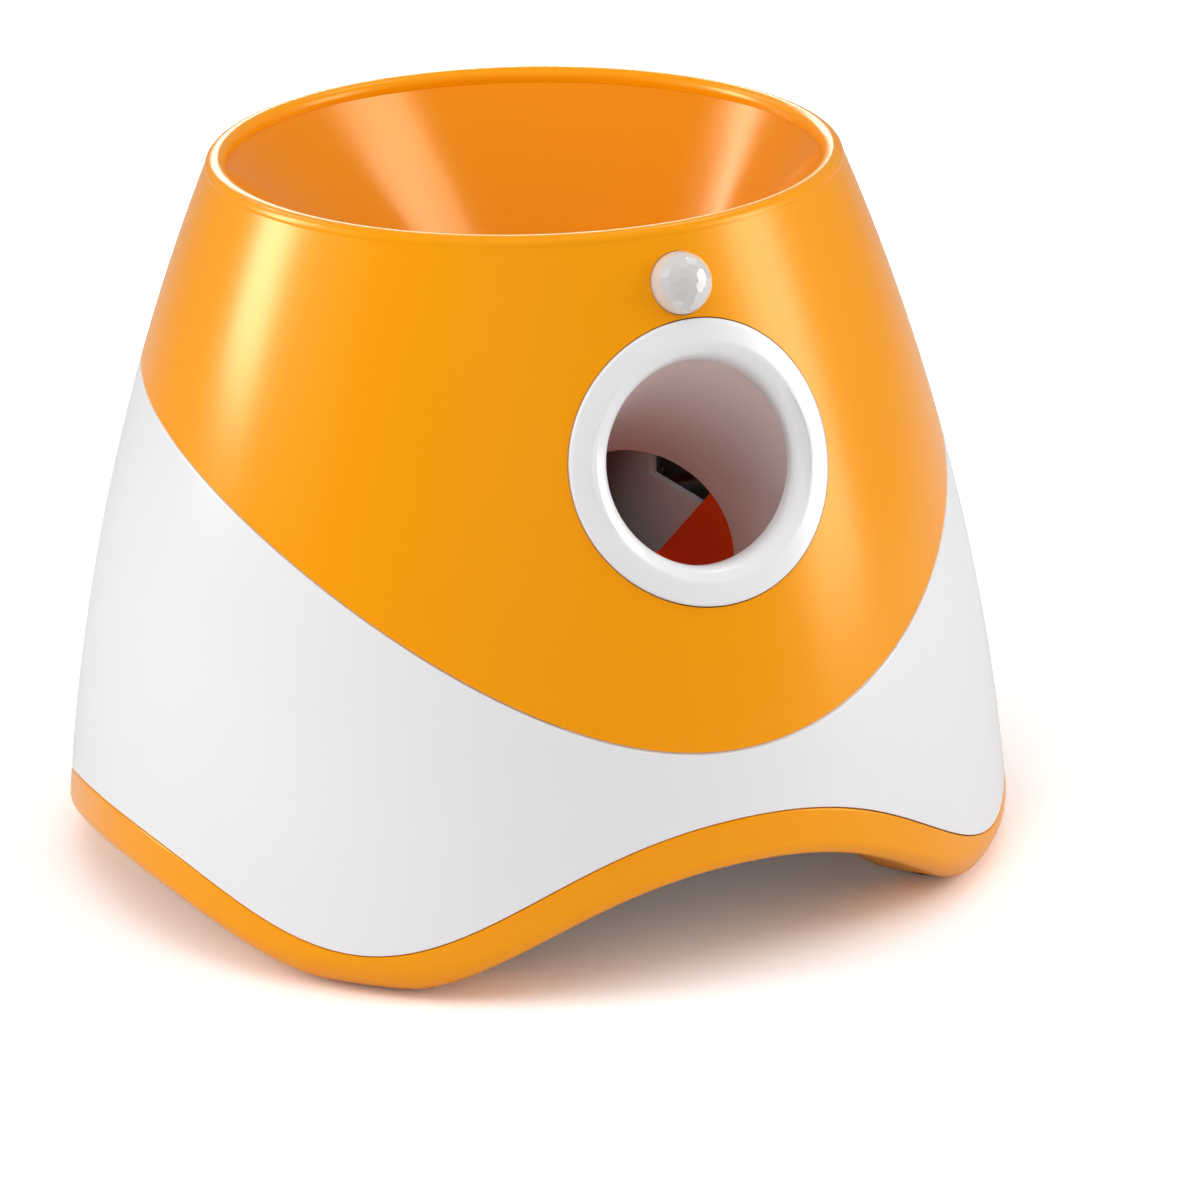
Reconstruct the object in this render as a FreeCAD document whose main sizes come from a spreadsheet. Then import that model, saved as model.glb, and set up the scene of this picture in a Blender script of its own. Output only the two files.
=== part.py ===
import FreeCAD, Part
import math
import os
import re
from FreeCAD import Placement, Rotation, Vector

# Automatic dog ball launcher. The origin is on the floor under the middle of the body, +Z is up,
# and the nozzle looks along -Y. Sizes are in millimetres and angles in degrees.

doc = FreeCAD.newDocument("BallLauncher")
sheet = doc.addObject("Spreadsheet::Sheet", "Sizes")
row = 0


def size(alias, value):
    """Writes one driving size into the sheet and returns it for work in plain code."""
    global row
    row += 1
    sheet.set("A%d" % row, alias)
    sheet.set("B%d" % row, repr(float(value)))
    sheet.setAlias("B%d" % row, alias)
    return float(value)


# Body: a round, bulging cone cut into three shells
body_height = size("body_height", 206)
base_radius = size("base_radius", 137.5)
middle_radius = size("middle_radius", 122.3)
top_radius = size("top_radius", 89)
shell_wall = size("shell_wall", 2.6)
seam_gap = size("seam_gap", 0.3)
panel_front = size("panel_front", 67.2)
panel_peak = size("panel_peak", 147.5)
panel_peak_back = size("panel_peak_back", 65.4)

# Hopper bowl: a funnel whose drain lies towards the nozzle
mouth_radius = size("mouth_radius", 84.4)
mouth_lip = size("mouth_lip", 3.8)
bowl_wall = size("bowl_wall", 2.2)
drain_radius = size("drain_radius", 29.5)
drain_height = size("drain_height", 142)
drain_forward = size("drain_forward", 29)
spout_bottom = size("spout_bottom", 130)

# Base: four feet with an arch between each two
front_arch = size("front_arch", 34.5)
side_arch = size("side_arch", 18.5)
foot_dip = size("foot_dip", 0.5)
arch_flat = size("arch_flat", 1.5)
trim_height = size("trim_height", 13.9)
foot_round = size("foot_round", 11)
foot_lift = size("foot_lift", 1.0)
channel_radius = size("channel_radius", 110)
plate_height = size("plate_height", 35.5)
plate_wall = size("plate_wall", 3)
pad_radius = size("pad_radius", 7.2)
pad_sink = size("pad_sink", 0.8)
foot_circle = size("foot_circle", 118.6)

# Nozzle and barrel
nozzle_height = size("nozzle_height", 144.5)
ring_radius = size("ring_radius", 39.2)
ring_proud = size("ring_proud", 0.8)
lip_radius = size("lip_radius", 32)
bore_radius = size("bore_radius", 28)
throat_depth = size("throat_depth", 9)
barrel_tilt = size("barrel_tilt", 40)
barrel_wall = size("barrel_wall", 2.5)
elbow_end = size("elbow_end", 28)
barrel_end = size("barrel_end", 56)

# Ball, cradle and striker arm, along the barrel from the nozzle's face
ball_radius = size("ball_radius", 25.5)
ball_seat = size("ball_seat", 80)
arm_length = size("arm_length", 60)
arm_width = size("arm_width", 12)
arm_depth = size("arm_depth", 9)
hub_radius = size("hub_radius", 9)
pad_disc_radius = size("pad_disc_radius", 10.5)
pad_disc_depth = size("pad_disc_depth", 4)
shaft_radius = size("shaft_radius", 3)
running_gap = size("running_gap", 0.05)

# Gear train on the right of the barrel, all axles along X
frame_inner = size("frame_inner", 34)
frame_wall = size("frame_wall", 2.5)
frame_outer = size("frame_outer", 55.5)
gear_width = size("gear_width", 5)
gear_gap = size("gear_gap", 1)
head_gap = size("head_gap", 2.4)
axle_radius = size("axle_radius", 2)
fine_module = size("fine_module", 0.8)
wheel_module = size("wheel_module", 1)
arm_module = size("arm_module", 1.5)
motor_radius = size("motor_radius", 13.8)
motor_length = size("motor_length", 34)

# Battery bay, left of the barrel
cell_radius = size("cell_radius", 13.1)
cell_length = size("cell_length", 49)
bay_inner = size("bay_inner", 39.6)
bay_wall = size("bay_wall", 1.8)
door_gap = size("door_gap", 0.3)

# Sensor, button and inlet
sensor_height = size("sensor_height", 191)
dome_radius = size("dome_radius", 8.7)
button_height = size("button_height", 100)
button_radius = size("button_radius", 8)
button_travel = size("button_travel", 1.5)
inlet_height = size("inlet_height", 62)
inlet_radius = size("inlet_radius", 5)
inlet_bore = size("inlet_bore", 2.75)
doc.recompute()


# Helpers

def rule(text):
    """Turns every alias in a rule into a reference to its cell."""
    return re.sub(r"\b[a-z]+(?:_[a-z]+)+\b", lambda word: "Sizes." + word.group(), text)


def bind(obj, **rules):
    for name, text in rules.items():
        obj.setExpression(name, rule(text))
    return obj


def put(obj, x="0", y="0", z="0", about=(0, 0, 1), angle=0):
    """Turns an object about an axis and binds its place to the sheet."""
    obj.Placement = Placement(Vector(), Rotation(Vector(*about), angle))
    for name, text in (("x", x), ("y", y), ("z", z)):
        obj.setExpression("Placement.Base." + name, rule(text))
    return obj


def box(name, long, wide, high, **place):
    return put(bind(doc.addObject("Part::Box", name), Length=long, Width=wide, Height=high), **place)


def disc(name, radius, high, **place):
    return put(bind(doc.addObject("Part::Cylinder", name), Radius=radius, Height=high), **place)


def rod(name, radius, long, x, y, z):
    """A round bar along +X."""
    return disc(name, radius, long, x=x, y=y, z=z, about=(0, 1, 0), angle=90)


def cut(name, base, *tools):
    obj = base
    for number, tool in enumerate(tools):
        last = number == len(tools) - 1
        joined = doc.addObject("Part::Cut", name if last else "%s_cut_%d" % (name, number))
        joined.Base = obj
        joined.Tool = tool
        obj = joined
    return obj


def fuse(name, *pieces):
    obj = doc.addObject("Part::MultiFuse", name)
    obj.Shapes = list(pieces)
    obj.Refine = True
    return obj


def group(name, *pieces):
    """Several separate solids of one kind under one name."""
    obj = doc.addObject("Part::Compound", name)
    obj.Links = list(pieces)
    return obj


def common(name, first, second):
    obj = doc.addObject("Part::Common", name)
    obj.Base = first
    obj.Tool = second
    return obj


def solid(name, shape):
    obj = doc.addObject("Part::Feature", name)
    obj.Shape = shape
    return obj


def set_down(obj, placement):
    """Moves a finished object from its own frame into the launcher."""
    for name, text in list(obj.ExpressionEngine):
        if "Placement" in name:
            obj.setExpression(name, None)
    obj.Placement = placement
    return obj


def deeper(placement, x, y, z):
    """A frame moved by its own axes."""
    return placement.multiply(Placement(Vector(x, y, z), Rotation()))


def draw(sketch, start, moves):
    """Draws a closed outline: a pair of numbers is a line's end, two pairs are an arc's middle and end."""
    here = Vector(start[0], start[1], 0)
    for move in moves:
        if isinstance(move[0], tuple):
            middle = Vector(move[0][0], move[0][1], 0)
            end = Vector(move[1][0], move[1][1], 0)
            sketch.addGeometry(Part.Arc(here, middle, end), False)
        else:
            end = Vector(move[0], move[1], 0)
            sketch.addGeometry(Part.LineSegment(here, end), False)
        here = end


def body_sketch(name, plane):
    """A body with one sketch on one of its own origin planes."""
    body = doc.addObject("PartDesign::Body", name)
    sketch = body.newObject("Sketcher::SketchObject", name + "_outline")
    face = [part for part in body.Origin.OriginFeatures if part.Role == plane][0]
    sketch.AttachmentSupport = [(face, "")]
    sketch.MapMode = "FlatFace"
    return body, sketch


def turned(name, start, moves):
    """A body of revolution about Z from an outline in radius and height."""
    body, sketch = body_sketch(name, "XZ_Plane")
    draw(sketch, start, moves)
    spin = body.newObject("PartDesign::Revolution", name + "_turn")
    spin.Profile = sketch
    spin.ReferenceAxis = (sketch, ["V_Axis"])
    spin.Angle = 360
    return body


# Rubber foot pads

FOOT_ANGLES = (45, 135, 225, 315)
FOOT_NAMES = ("front_right", "back_right", "back_left", "front_left")
foot_pads = []
for angle, side in zip(FOOT_ANGLES, FOOT_NAMES):
    name = "foot_pad_" + side
    body, sketch = body_sketch(name, "XY_Plane")
    sketch.addGeometry(Part.Circle(Vector(), Vector(0, 0, 1), pad_radius), False)
    pad = body.newObject("PartDesign::Pad", name + "_rise")
    pad.Profile = sketch
    bind(pad, Length="foot_lift + pad_sink")
    doc.recompute()
    edge = body.newObject("PartDesign::Chamfer", name + "_edge")
    edge.Base = (pad, ["Edge%d" % (number + 1) for number, item in enumerate(pad.Shape.Edges)
                       if len(item.Vertexes) == 1 and item.CenterOfMass.z < 0.01])
    edge.Size = 0.4
    turn = math.radians(angle)
    body.Placement = Placement(Vector(foot_circle * math.sin(turn), -foot_circle * math.cos(turn), 0), Rotation())
    foot_pads.append(body)


# Shape of the outer wall: one arc through three heights

def wall_circle():
    low = Vector(base_radius, 0, 0)
    middle = Vector(middle_radius, body_height / 2, 0)
    high = Vector(top_radius, body_height, 0)
    return Part.Arc(low, middle, high).toShape().Curve


wall_centre = wall_circle().Center
wall_sweep = wall_circle().Radius


def outer(height):
    """Radius of the outer surface at a height."""
    return wall_centre.x + math.sqrt(wall_sweep ** 2 - (height - wall_centre.y) ** 2)


def lean(height):
    """How far the outward normal looks up at a height, in degrees."""
    return math.degrees(math.asin((height - wall_centre.y) / wall_sweep))


def wall_arc(low, high, inset):
    """Moves for an arc of the wall, from one height to another, inset along the radius."""
    middle = (low + high) / 2
    return ((outer(middle) - inset, middle), (outer(high) - inset, high))


def surface_frame(height, back=False):
    """A frame on the outer surface at the front or back: local +Z looks out, local +Y up the wall."""
    side = 1 if back else -1
    place = Vector(0, side * outer(height), height)
    tip = Rotation(Vector(1, 0, 0), 90 - lean(height))
    spin = Rotation(Vector(0, 0, 1), 180 if back else 0)
    return Placement(place, spin.multiply(tip))


# Launch frame: local +Y runs into the body along the barrel, local +Z is square to it

nozzle_front = -outer(nozzle_height)
launch = Placement(Vector(0, nozzle_front, nozzle_height), Rotation(Vector(1, 0, 0), -barrel_tilt))
contact = ball_seat + ball_radius

# Shafts of the gear train, in the body's own frame, seen along X

pivot = launch.multVec(Vector(0, contact, arm_length))
QUADRANT_TEETH = 60
SECTOR_TEETH = 16
SECTOR_KEPT = 9
WHEEL_TEETH = 42
SMALL_TEETH = 14
FIRST_TEETH = 48
MOTOR_TEETH = 12
arm_distance = arm_module * (QUADRANT_TEETH + SECTOR_TEETH) / 2
wheel_distance = wheel_module * (WHEEL_TEETH + SMALL_TEETH) / 2
motor_distance = fine_module * (FIRST_TEETH + MOTOR_TEETH) / 2


def beside(centre, distance, angle):
    """A point beside another in the Y-Z plane, at an angle above +Y."""
    turn = math.radians(angle)
    return Vector(0, centre.y + distance * math.cos(turn), centre.z + distance * math.sin(turn))


SECOND_ANGLE = 45
FIRST_ANGLE = 0
MOTOR_ANGLE = 30
sector_at = beside(pivot, arm_distance, -90)
second_at = beside(sector_at, wheel_distance, SECOND_ANGLE)
first_at = beside(second_at, wheel_distance, FIRST_ANGLE)
motor_at = beside(first_at, motor_distance, MOTOR_ANGLE)
for name, point in (("pivot", pivot), ("sector", sector_at), ("second", second_at),
                    ("first", first_at), ("motor", motor_at)):
    size(name + "_back", point.y)
    size(name + "_up", point.z)
doc.recompute()

# The parting line between the upper and lower shells is a cylinder across the body, seen from the side

panel_drop = panel_peak - panel_front
panel_run = outer(panel_front) + panel_peak_back
panel_sweep = size("panel_sweep", (panel_drop ** 2 + panel_run ** 2) / (2 * panel_drop))
panel_reach = size("panel_reach", 3 * base_radius)


def panel_tool(name, grow):
    radius = "panel_sweep + (%s)" % grow
    return rod(name, radius, "panel_reach", "-panel_reach / 2", "panel_peak_back", "panel_peak - panel_sweep")


# Feet and arches: one wave round the base, which the trim's two edges follow

def wave(angle):
    """Height of the trim's top edge at an angle from the nozzle, in degrees."""
    front = front_arch + trim_height
    side = side_arch + trim_height
    foot = trim_height - foot_dip
    two = (front - side) / 2
    four = ((front + side) / 2 - foot) / 2
    mean = foot + four + arch_flat
    turn = math.radians(angle)
    return mean + two * math.cos(2 * turn) + four * math.cos(4 * turn) - arch_flat * math.cos(8 * turn)


WAVE_POINTS = 32


def ring_curve(radius, height):
    """A closed smooth curve round the body whose height follows a rule of the angle."""
    points = []
    for number in range(WAVE_POINTS):
        angle = 360.0 * number / WAVE_POINTS
        turn = math.radians(angle)
        points.append(Vector(radius * math.sin(turn), -radius * math.cos(turn), height(angle)))
    curve = Part.BSplineCurve()
    steps = [number / float(WAVE_POINTS) for number in range(WAVE_POINTS + 1)]
    curve.interpolate(Points=points, PeriodicFlag=True, Parameters=steps)
    return curve.toShape()


def wave_solid(inner_radius, outer_radius, offset, flat):
    """The space between the wave, shifted by an offset, and a flat level."""
    inner_wave = ring_curve(inner_radius, lambda angle: wave(angle) + offset)
    outer_wave = ring_curve(outer_radius, lambda angle: wave(angle) + offset)
    inner_flat = ring_curve(inner_radius, lambda angle: flat)
    outer_flat = ring_curve(outer_radius, lambda angle: flat)
    faces = [Part.makeRuledSurface(inner_wave, outer_wave)]
    faces.append(Part.makeRuledSurface(outer_wave, outer_flat))
    faces.append(Part.makeRuledSurface(outer_flat, inner_flat))
    faces.append(Part.makeRuledSurface(inner_flat, inner_wave))
    shell = Part.makeShell(faces)
    shell.sewShape()
    body = Part.makeSolid(shell)
    if body.Volume < 0:
        body.reverse()
    return body


# Upper shell: orange, with the rolled rim of the mouth

rim_middle = body_height - (outer(body_height - 3) - mouth_radius) / 2
rim_round = (outer(rim_middle) - mouth_radius) / 2
lip_bottom = body_height - mouth_lip
hollow_top = rim_middle - 1.5
panel_low = panel_front - 8

upper_blank = turned("upper_blank", (outer(panel_low) - shell_wall, panel_low), [
    (outer(panel_low), panel_low),
    wall_arc(panel_low, rim_middle, 0),
    ((mouth_radius + rim_round, rim_middle + rim_round), (mouth_radius, rim_middle)),
    (mouth_radius, lip_bottom),
    (mouth_radius + bowl_wall, lip_bottom),
    (mouth_radius + bowl_wall, hollow_top),
    (outer(hollow_top) - shell_wall, hollow_top),
    wall_arc(hollow_top, panel_low, shell_wall),
])

nozzle_frame = surface_frame(nozzle_height)
sensor_frame = surface_frame(sensor_height)
button_frame = surface_frame(button_height, back=True)
inlet_frame = surface_frame(inlet_height, back=True)

nozzle_hole = disc("nozzle_hole", "ring_radius + seam_gap", "4 * ring_radius")
set_down(nozzle_hole, deeper(nozzle_frame, 0, 0, -ring_radius))
sensor_hole = disc("sensor_hole", "dome_radius + seam_gap / 2", "20")
set_down(sensor_hole, deeper(sensor_frame, 0, 0, -10))
upper_shell = cut("upper_shell", upper_blank, panel_tool("panel_tool_up", "seam_gap / 2"), nozzle_hole, sensor_hole)

# Lower shell: white, from the parting line down to the trim, with a boss over each foot

shell_low = foot_lift + trim_height - 4
shell_high = panel_peak + 6
boss_radius = size("boss_radius", 4.6)
boss_top = size("boss_top", 42)
boss_split = size("boss_split", 12)
rib_wall = size("rib_wall", 2.4)
screw_radius = size("screw_radius", 1.5)
screw_head = size("screw_head", 2.9)

lower_blank = turned("lower_blank", (outer(shell_low) - shell_wall, shell_low), [
    (outer(shell_low), shell_low),
    wall_arc(shell_low, shell_high, 0),
    (outer(shell_high) - shell_wall, shell_high),
    wall_arc(shell_high, shell_low, shell_wall),
])
lower_cover = common("lower_cover", lower_blank, panel_tool("panel_tool_low", "-seam_gap / 2"))
below_trim = solid("below_trim", wave_solid(base_radius - 30, base_radius + 20, seam_gap / 2, -20))
lower_skin = cut("lower_skin", lower_cover, below_trim)

def at_foot(obj, angle, radius="foot_circle", z="0"):
    """Puts an object over one foot, turned so that its local +X looks outwards."""
    turn = angle - 90
    obj.Placement = Placement(Vector(), Rotation(Vector(0, 0, 1), turn))
    obj.setExpression("Placement.Base.x", rule("(%s) * sin(%d deg)" % (radius, angle)))
    obj.setExpression("Placement.Base.y", rule("-(%s) * cos(%d deg)" % (radius, angle)))
    obj.setExpression("Placement.Base.z", rule(z))
    return obj


lower_bosses = []
pilot_holes = []
for number, angle in enumerate(FOOT_ANGLES):
    boss = bind(doc.addObject("Part::Cylinder", "lower_boss_%d" % number),
                Radius="boss_radius", Height="boss_top - boss_split - seam_gap")
    lower_bosses.append(at_foot(boss, angle, z="boss_split + seam_gap"))
    rib = bind(doc.addObject("Part::Box", "lower_rib_%d" % number),
               Length="base_radius - shell_wall - foot_circle - 2.5", Width="rib_wall",
               Height="boss_top - boss_split - trim_height")
    at_foot(rib, angle, z="boss_split + trim_height")
    turn = angle - 90
    rib.setExpression("Placement.Base.x", rule("foot_circle * sin(%d deg) + rib_wall / 2 * sin(%d deg)" % (angle, turn)))
    rib.setExpression("Placement.Base.y", rule("-foot_circle * cos(%d deg) - rib_wall / 2 * cos(%d deg)" % (angle, turn)))
    lower_bosses.append(rib)
    hole = bind(doc.addObject("Part::Cylinder", "pilot_hole_%d" % number),
                Radius="screw_radius + running_gap", Height="boss_top - boss_split")
    pilot_holes.append(at_foot(hole, angle, z="boss_split - 2"))
switch_deep = size("switch_deep", 12.8)
switch_posts = []
for number, (x, y) in enumerate(((-12, -8), (12, -8), (-12, 19), (12, 19))):
    post = disc("switch_post_%d" % number, "2.2", "switch_deep - 2")
    switch_posts.append(set_down(post, deeper(button_frame, x, y, -switch_deep)))
lower_joined = fuse("lower_joined", lower_skin, *(lower_bosses + switch_posts))

button_hole = disc("button_hole", "button_radius + seam_gap", "20")
set_down(button_hole, deeper(button_frame, 0, 0, -10))
inlet_hole = disc("inlet_hole", "inlet_radius + running_gap", "20")
set_down(inlet_hole, deeper(inlet_frame, 0, 0, -10))
light_radius = size("light_radius", 1.5)
light_pitch = size("light_pitch", 8)
light_rise = size("light_rise", 15)
light_holes = []
for number in (-1, 0, 1):
    hole = disc("light_hole_%d" % (number + 1), "light_radius + running_gap", "20")
    light_holes.append(set_down(hole, deeper(button_frame, number * light_pitch, light_rise, -10)))
lower_shell = cut("lower_shell", lower_joined, button_hole, inlet_hole, *(pilot_holes + light_holes))

# Base trim: an orange channel that follows the feet and arches, with a screw boss in each foot

mass_top = panel_front - 4
foot_side = outer(foot_lift + foot_round)
round_half = math.sqrt(0.5)


def channel(name, inset, low, top):
    """The trim's channel before the arches are cut, inset by a wall for its hollow."""
    turn = foot_round - inset
    middle = (foot_side - inset - turn * (1 - round_half), low + turn * (1 - round_half))
    return turned(name, (channel_radius + inset, low), [
        (foot_side - inset - turn, low),
        (middle, (foot_side - inset, low + turn)),
        wall_arc(low + turn, top, inset),
        (channel_radius + inset + shell_wall, top),
        (channel_radius + inset + shell_wall, plate_top),
        (channel_radius + inset, plate_top),
        (channel_radius + inset, low),
    ])


plate_top = plate_height + plate_wall
trim_mass = channel("trim_mass", 0, foot_lift, mass_top)
trim_void = turned("trim_void", (channel_radius + shell_wall, foot_lift + shell_wall), [
    (foot_side - foot_round, foot_lift + shell_wall),
    ((foot_side - shell_wall - (foot_round - shell_wall) * (1 - round_half),
      foot_lift + shell_wall + (foot_round - shell_wall) * (1 - round_half)),
     (foot_side - shell_wall, foot_lift + foot_round)),
    wall_arc(foot_lift + foot_round, mass_top + 4, shell_wall),
    (channel_radius + shell_wall, mass_top + 4),
    (channel_radius + shell_wall, foot_lift + shell_wall),
])
arch_low = solid("arch_low", wave_solid(channel_radius - 20, base_radius + 20, -trim_height, -20))
arch_high = solid("arch_high", wave_solid(channel_radius - 20, base_radius + 20, shell_wall - trim_height, -20))
above_trim = solid("above_trim", wave_solid(base_radius - 22, base_radius + 20, -seam_gap / 2, 100))
trim_arched = cut("trim_arched", trim_mass, arch_low)
trim_hollow = cut("trim_hollow", trim_void, arch_high)
trim_channel = cut("trim_channel", trim_arched, trim_hollow, above_trim)

trim_bosses = []
trim_holes = []
for number, angle in enumerate(FOOT_ANGLES):
    boss = bind(doc.addObject("Part::Cylinder", "trim_boss_%d" % number),
                Radius="boss_radius", Height="boss_split - foot_lift - 1")
    trim_bosses.append(at_foot(boss, angle, z="foot_lift + 1"))
    for part, radius, high, z in (
            ("shank", "screw_radius + running_gap * 3", "boss_split", "foot_lift"),
            ("head", "screw_head + seam_gap", "shell_wall + 1.6 - pad_sink", "foot_lift + pad_sink - 0.1"),
            ("pad", "pad_radius + seam_gap", "pad_sink + seam_gap", "foot_lift")):
        hole = bind(doc.addObject("Part::Cylinder", "trim_%s_%d" % (part, number)), Radius=radius, Height=high)
        trim_holes.append(at_foot(hole, angle, z=z))
base_trim = cut("base_trim", fuse("trim_joined", trim_channel, *trim_bosses), *trim_holes)

# Screws that hold the trim to the lower shell

def screw(name, length, head_radius="screw_head", head_high="1.6"):
    """A pan screw that stands on its head, shank upwards."""
    head = disc(name + "_head", head_radius, head_high)
    shank = disc(name + "_shank", "screw_radius", length, z=head_high)
    return fuse(name, head, shank)


housing_parts = []
for number, angle in enumerate(FOOT_ANGLES):
    piece = screw("housing_screw_%d" % number, "boss_top - boss_split - 6")
    housing_parts.append(at_foot(piece, angle, z="foot_lift + shell_wall - 0.1 - seam_gap"))
housing_screws = group("housing_screws", *housing_parts)

# Hopper bowl: a skewed funnel with a short spout over the cradle

bowl_top = lip_bottom - seam_gap


def funnel(grow, low_extra):
    """The funnel between the mouth and the drain, grown by a wall."""
    normal = Vector(0, 0, 1)
    top = Part.Wire(Part.makeCircle(mouth_radius + grow, Vector(0, 0, bowl_top), normal))
    low = Part.Wire(Part.makeCircle(drain_radius + grow, Vector(0, -drain_forward, drain_height), normal))
    cone = Part.makeLoft([low, top], True, True)
    spout = Part.makeCylinder(drain_radius + grow, drain_height - spout_bottom + low_extra,
                              Vector(0, -drain_forward, spout_bottom - low_extra), normal)
    return cone.fuse(spout)


bowl_outer = solid("bowl_outer", funnel(bowl_wall, 0))
bowl_inner = solid("bowl_inner", funnel(0, 1))
bowl_blank = cut("bowl_blank", bowl_outer, bowl_inner)



def launch_disc(name, radius, long, along, rise="0"):
    """A round bar along the barrel, in the launch frame."""
    return disc(name, radius, long, y=along, z=rise, about=(1, 0, 0), angle=-90)


spout_cut = box("spout_cut", "4 * drain_radius", "200", "4 * drain_radius",
                x="-2 * drain_radius", z="bore_radius + barrel_wall + seam_gap - 4 * drain_radius")
spout_tool = group("spout_tool", spout_cut)
set_down(spout_tool, launch)
hopper_bowl = cut("hopper_bowl", bowl_blank, spout_tool)

# Nozzle ring: a washer cut from the body's own surface, with a flared lip and a short throat

ring_low = nozzle_height - 1.5 * ring_radius
ring_high = nozzle_height + 1.35 * ring_radius
ring_skin = turned("ring_skin", (outer(ring_low) - shell_wall, ring_low), [
    (outer(ring_low) + ring_proud, ring_low),
    wall_arc(ring_low, ring_high, -ring_proud),
    (outer(ring_high) - shell_wall, ring_high),
    wall_arc(ring_high, ring_low, shell_wall),
])
ring_plug = disc("ring_plug", "ring_radius", "3 * ring_radius")
set_down(ring_plug, deeper(nozzle_frame, 0, 0, -ring_radius))
ring_washer = common("ring_washer", ring_skin, ring_plug)
throat = turned("throat", (bore_radius, -throat_depth), [
    (bore_radius + barrel_wall, -throat_depth),
    (bore_radius + barrel_wall + 2, -throat_depth / 2),
    (bore_radius + barrel_wall + 2, -2),
    (bore_radius, -2),
    (bore_radius, -throat_depth),
])
set_down(throat, nozzle_frame)
flare = turned("flare", (0, -throat_depth - 1), [
    (bore_radius, -throat_depth - 1),
    (bore_radius, -throat_depth + 1.5),
    ((bore_radius + 1.1, -throat_depth / 2 + 1), (lip_radius, 0.6)),
    (lip_radius + 3, 4),
    (0, 4),
    (0, -throat_depth - 1),
])
set_down(flare, nozzle_frame)
nozzle_ring = cut("nozzle_ring", fuse("ring_joined", ring_washer, throat), flare)

# Launch barrel: an elbow from the throat, then a straight tube down to the cradle

elbow_gap = seam_gap


def barrel_shape(grow, spare):
    """The barrel's outside or its bore: a ruled elbow and a straight run."""
    out = nozzle_frame.Rotation.multVec(Vector(0, 0, 1))
    mouth = nozzle_frame.Base - out * (throat_depth + elbow_gap - spare)
    along = launch.Rotation.multVec(Vector(0, 1, 0))
    bend = launch.Base + along * elbow_end
    first = Part.Wire(Part.makeCircle(bore_radius + grow, mouth, out * -1))
    second = Part.Wire(Part.makeCircle(bore_radius + grow, bend, along))
    elbow = Part.makeLoft([first, second], True, True)
    straight = Part.makeCylinder(bore_radius + grow, barrel_end - elbow_end + spare, bend, along)
    return elbow.fuse(straight)


barrel_outer = solid("barrel_outer", barrel_shape(barrel_wall, 0))
barrel_bore = solid("barrel_bore", barrel_shape(0, 0.5))
launch_barrel = cut("launch_barrel", barrel_outer, barrel_bore)

# Ball cradle: a trough that carries on from the barrel, with a stop that the striker pad passes through

cradle_start = "barrel_end + seam_gap"
cradle_long = "ball_seat + ball_radius - barrel_end - seam_gap + 1"
guard_rise = size("guard_rise", 12)
rail_wide = "frame_inner - seam_gap - bore_radius"
trough_out = launch_disc("trough_out", "bore_radius + barrel_wall", cradle_long, cradle_start)
trough_box = box("trough_box", "2 * (frame_inner - seam_gap)", cradle_long, "guard_rise + 4",
                 x="seam_gap - frame_inner", y=cradle_start, z="-4")
trough_in = launch_disc("trough_in", "bore_radius", "ball_seat + ball_radius - barrel_end - 2", "barrel_end - 1")
trough_top = box("trough_top", "2 * bore_radius", "ball_seat + ball_radius - barrel_end - 2", "80",
                 x="-bore_radius", y="barrel_end - 1")
trough_clear = box("trough_clear", "4 * bore_radius", "200", "80", x="-2 * bore_radius", z="guard_rise")
pad_slot = box("pad_slot", "2 * (pad_disc_radius + 2)", "60", "80",
               x="-pad_disc_radius - 2", y="ball_seat", z="-pad_disc_radius - 2")
trough = fuse("trough", trough_out, trough_box)
ball_cradle = cut("ball_cradle", trough, trough_in, trough_top, trough_clear, pad_slot)
set_down(ball_cradle, launch)

# Striker arm: hangs from its shaft above and behind the ball and strikes along the barrel

head_radius = "pad_disc_radius + 1"
arm_start = "ball_seat + ball_radius + pad_disc_depth"
arm_hub = rod("arm_hub", "hub_radius", "arm_width + 6", "-arm_width / 2 - 3", "ball_seat + ball_radius", "arm_length")
arm_bar = box("arm_bar", "arm_width", "arm_depth", "arm_length",
              x="-arm_width / 2", y="ball_seat + ball_radius + pad_disc_depth")
arm_head = launch_disc("arm_head", head_radius, "arm_depth", arm_start)
arm_web = box("arm_web", "arm_width / 3", "arm_depth + 7", "arm_length - 8",
              x="-arm_width / 6", y="ball_seat + ball_radius + pad_disc_depth", z="8")
arm_bore = rod("arm_bore", "shaft_radius", "arm_width + 8", "-arm_width / 2 - 4", "ball_seat + ball_radius", "arm_length")
striker_arm = cut("striker_arm", fuse("arm_joined", arm_hub, arm_bar, arm_head, arm_web), arm_bore)
set_down(striker_arm, launch)
striker_pad = disc("striker_pad", "pad_disc_radius", "pad_disc_depth")
set_down(striker_pad, launch.multiply(Placement(Vector(0, contact, 0), Rotation(Vector(1, 0, 0), -90))))

# Gears: involute teeth, drawn with three points on each flank

PRESSURE_ANGLE = math.radians(20)
backlash = size("backlash", 0.2)


def involute(angle):
    return math.tan(angle) - angle


def tooth_half_angle(module, teeth, radius):
    """Half of a tooth's width at a radius, as an angle at the gear's centre."""
    pitch_radius = module * teeth / 2
    base = pitch_radius * math.cos(PRESSURE_ANGLE)
    at_pitch = math.pi / (2 * teeth) - backlash / (4 * pitch_radius) * 1.0
    slope = math.acos(min(1.0, base / max(radius, base)))
    return at_pitch + involute(PRESSURE_ANGLE) - involute(slope)


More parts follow.
